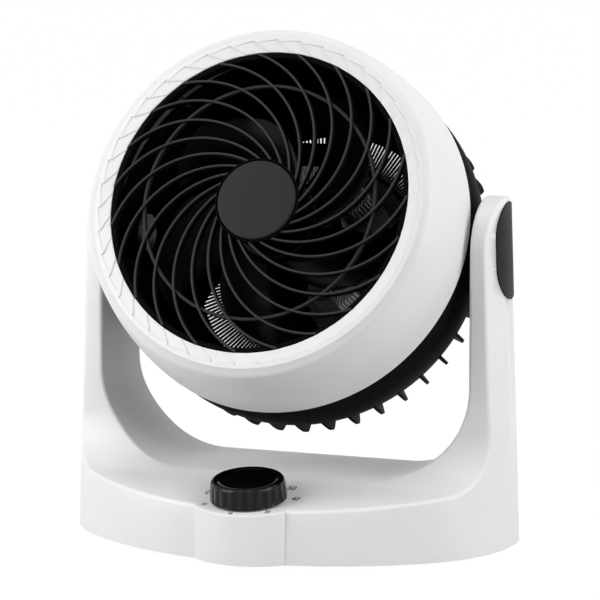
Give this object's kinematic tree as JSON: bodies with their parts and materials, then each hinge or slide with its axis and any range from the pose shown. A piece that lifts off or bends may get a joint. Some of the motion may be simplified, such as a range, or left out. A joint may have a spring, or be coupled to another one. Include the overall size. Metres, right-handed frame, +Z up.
{
  "type": "fan heater",
  "caption": "Tabletop fan heater: round tilting head with a spiral front grille, fan and heating unit, held in a U-shaped yoke base with a selector knob on its front.",
  "frame": {"origin": "on the floor, below the middle of the object's bounding box, in the pictured pose", "axes": "+Z up, -Y to the front where the grille and knob are, +X to the right seen from the front"},
  "size_m": [0.264, 0.1876, 0.2941],
  "materials": {
    "white_plastic": "satin gloss white",
    "base_plastic": "matt white",
    "black_plastic": "fine matt black",
    "fan_plastic": "gloss black",
    "knob_plastic": "gloss black",
    "inner_plastic": "plain",
    "steel": "zinc plated",
    "bronze": "sintered",
    "heater_fins": "plain",
    "rubber": "matt"
  },
  "bodies": {
    "base": {"yoke_shell": "white_plastic", "base_plate": "base_plastic", "rubber_feet": "rubber", "base_screws": "steel", "pivot_cap_left": "black_plastic", "pivot_cap_right": "black_plastic", "pivot_bush_left": "inner_plastic", "pivot_bush_right": "inner_plastic", "cord_gland": "black_plastic", "tip_over_switch": "inner_plastic", "terminal_block": "inner_plastic", "selector_switch": "inner_plastic", "switch_nut": "steel"},
    "knob": {"switch_spindle": "steel", "selector_knob": "knob_plastic"},
    "head": {"trunnion_left": "steel", "trunnion_right": "steel", "pivot_washers": "steel", "pivot_screws": "steel", "front_shell": "white_plastic", "front_grille": "black_plastic", "hub_disc": "black_plastic", "rear_shell": "black_plastic", "shell_screws": "steel", "rear_grille": "black_plastic", "motor_mount": "black_plastic", "motor_can": "steel", "motor_bearings": "bronze", "stator": "steel", "heater_carrier": "inner_plastic", "ptc_heaters": "heater_fins", "thermal_cutout": "inner_plastic"},
    "fan": {"rotor": "steel", "motor_shaft": "steel", "impeller": "fan_plastic", "fan_nut": "steel"}
  },
  "joints": [
    {"name": "head_tilt", "type": "hinge", "parent": "base", "child": "head", "pos_m": [0, 0.01605, 0.1715], "axis": [-1, 0, 0], "range_deg": [-39, 41]},
    {"name": "knob_turn", "type": "hinge", "parent": "base", "child": "knob", "pos_m": [0, -0.06695, 0.03554], "axis": [0, -0.1478, 0.989], "range_deg": [-120, 120]},
    {"name": "fan_spin", "type": "hinge", "parent": "head", "child": "fan", "pos_m": [0, 0.01605, 0.1715], "axis": [0, -0.9135, 0.4067], "continuous": true}
  ]
}
